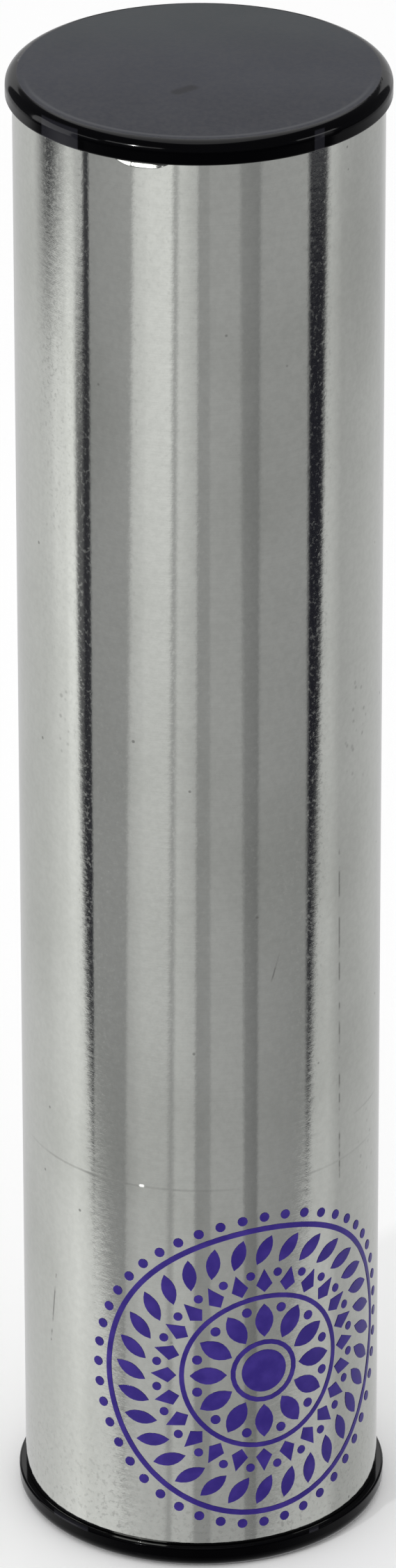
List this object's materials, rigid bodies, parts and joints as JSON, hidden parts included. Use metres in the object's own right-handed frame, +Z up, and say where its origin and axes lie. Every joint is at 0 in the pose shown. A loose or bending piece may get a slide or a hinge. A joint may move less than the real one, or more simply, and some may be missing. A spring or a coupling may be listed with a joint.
{
  "type": "ganza shaker",
  "caption": "Hand percussion shaker: a metal tube closed by pressed-in plastic caps, with a loose charge of steel shot that slides inside.",
  "frame": {"origin": "centre of the bottom cap's outer face, which the shaker stands on", "axes": "+Z up along the tube's axis, from the bottom cap to the top cap"},
  "size_m": [0.0518, 0.0518, 0.216],
  "materials": {
    "tube_metal": "semi-polished, fine brushing round the tube",
    "cap_plastic": "black moulded plastic, satin face and glossy edge",
    "shot_steel": "dull steel shot"
  },
  "bodies": {
    "shell": {"tube": "tube_metal", "bottom_cap": "cap_plastic", "top_cap": "cap_plastic"},
    "shot": {"shot_layer_1": "shot_steel", "shot_layer_2": "shot_steel", "shot_layer_3": "shot_steel", "shot_layer_4": "shot_steel"}
  },
  "joints": [
    {"name": "shot_run", "type": "slide", "parent": "shell", "child": "shot", "axis": [0, 0, 1], "range_m": [0, 0.1956]}
  ]
}
